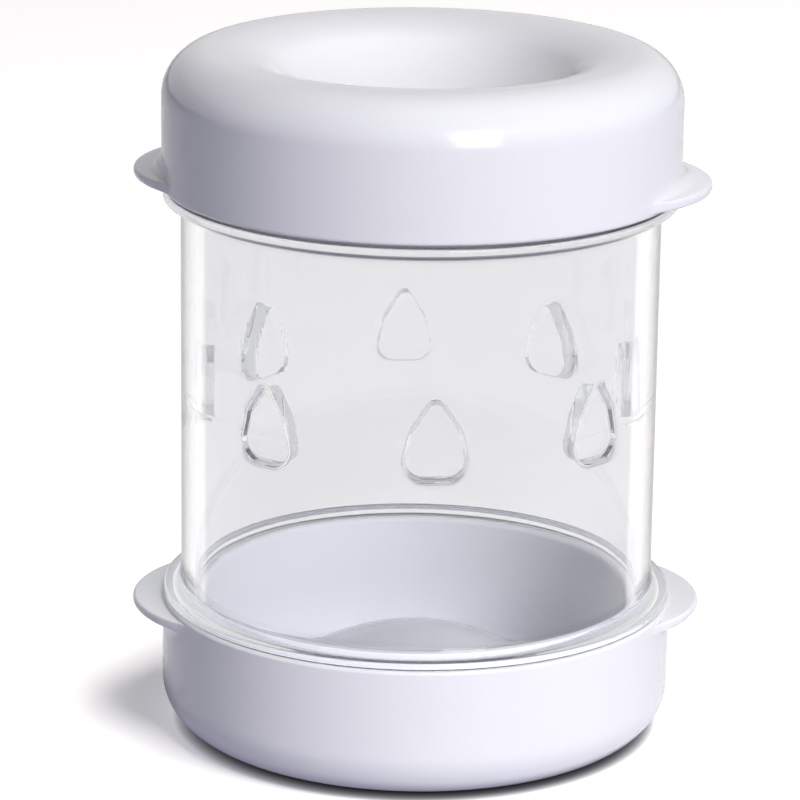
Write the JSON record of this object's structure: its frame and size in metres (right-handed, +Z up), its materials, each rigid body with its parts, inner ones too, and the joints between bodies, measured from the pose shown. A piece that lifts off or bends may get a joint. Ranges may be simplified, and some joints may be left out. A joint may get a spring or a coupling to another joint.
{
  "type": "boiled egg peeler",
  "caption": "Hand-held shaker for peeling a boiled egg: clear flanged barrel with inward nubs, closed at each end by a push-on dished cap with pull tabs.",
  "frame": {"origin": "centre of the foot ring of the bottom cap, on the surface the part stands on", "axes": "+Z up along the barrel; the bottom cap's pull tabs lie along X; the front faces -Y"},
  "size_m": [0.0852, 0.0762, 0.1028],
  "materials": {
    "cap_plastic": "satin, very slightly lavender white, soft to bend",
    "clear_plastic": "water clear, polished"
  },
  "bodies": {
    "bottom_cap": {"bottom_cap": "cap_plastic"},
    "barrel": {"barrel": "clear_plastic"},
    "top_cap": {"top_cap": "cap_plastic"}
  },
  "joints": [
    {"name": "barrel_pull_off", "type": "slide", "parent": "bottom_cap", "child": "barrel", "axis": [0, 0, 1], "range_m": [0, 0.08]},
    {"name": "top_cap_pull_off", "type": "slide", "parent": "barrel", "child": "top_cap", "axis": [0, 0, 1], "range_m": [0, 0.08]}
  ]
}
